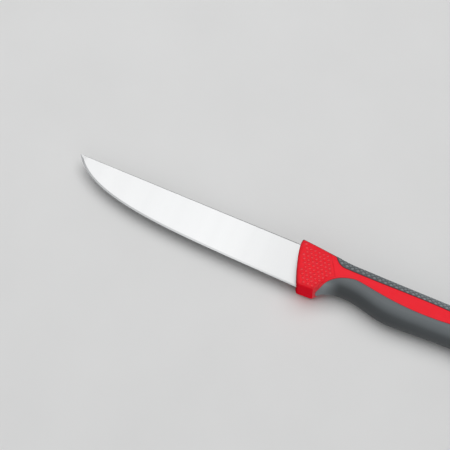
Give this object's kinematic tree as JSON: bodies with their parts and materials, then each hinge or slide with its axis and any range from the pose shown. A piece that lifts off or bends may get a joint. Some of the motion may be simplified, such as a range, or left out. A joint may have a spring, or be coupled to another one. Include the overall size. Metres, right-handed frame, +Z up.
{
  "type": "vegetable knife",
  "caption": "Kitchen knife for vegetables, lying flat: narrow straight-spined steel blade, red moulded handle with a square bolster and soft grey grips along belly and back.",
  "frame": {"origin": "centre of the bounding box in plan, on the surface the knife lies on", "axes": "+X from the blade's tip to the butt of the handle, +Y from the cutting edge to the spine, +Z up, square to the blade's flat sides"},
  "size_m": [0.268, 0.027, 0.0184],
  "materials": {
    "steel": "satin",
    "red_plastic": "semi-gloss, stippled on the bolster",
    "grey_rubber": "matte"
  },
  "bodies": {
    "root": {"blade": "steel", "handle_core": "red_plastic", "belly_grip": "grey_rubber", "back_grip": "grey_rubber"}
  },
  "joints": []
}
